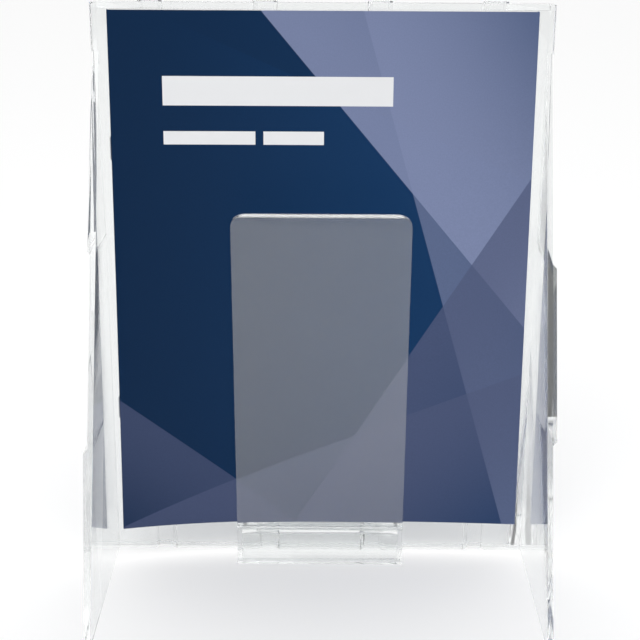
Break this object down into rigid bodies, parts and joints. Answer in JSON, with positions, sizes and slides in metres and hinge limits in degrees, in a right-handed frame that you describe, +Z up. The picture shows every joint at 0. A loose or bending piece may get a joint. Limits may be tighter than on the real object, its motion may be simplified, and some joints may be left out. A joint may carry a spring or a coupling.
{
  "type": "magazine rack",
  "caption": "Clear moulded stand-up magazine rack with a back panel, two tapering side wings with interlock pads, a front tongue pocket and a magazine that lifts out.",
  "frame": {"origin": "middle of the footprint, on the surface the rack stands on", "axes": "+Z up, +X to the reader's right, +Y from the reader towards the back panel"},
  "size_m": [0.2344, 0.1144, 0.3024],
  "materials": {
    "clear_plastic": "clear injection-moulded polystyrene, polished",
    "printed_cover": "offset-printed coated paper, satin",
    "paper_pages": "uncoated paper, matte",
    "staple_wire": "galvanised wire"
  },
  "bodies": {
    "rack": {"back_panel": "clear_plastic", "top_bead": "clear_plastic", "bottom_bead": "clear_plastic", "left_side_rim": "clear_plastic", "right_side_rim": "clear_plastic", "left_wing": "clear_plastic", "right_wing": "clear_plastic", "left_upper_pad": "clear_plastic", "left_lower_pad": "clear_plastic", "right_middle_pad": "clear_plastic", "pocket_floor": "clear_plastic", "base_skirt": "clear_plastic", "left_gusset": "clear_plastic", "right_gusset": "clear_plastic", "front_tongue": "clear_plastic", "tongue_lip": "clear_plastic"},
    "magazine": {"magazine_cover": "printed_cover", "inner_pages": "paper_pages", "staples": "staple_wire"}
  },
  "joints": [
    {"name": "magazine_lift", "type": "slide", "parent": "rack", "child": "magazine", "axis": [0, 0, 1], "range_m": [0, 0.285]}
  ]
}
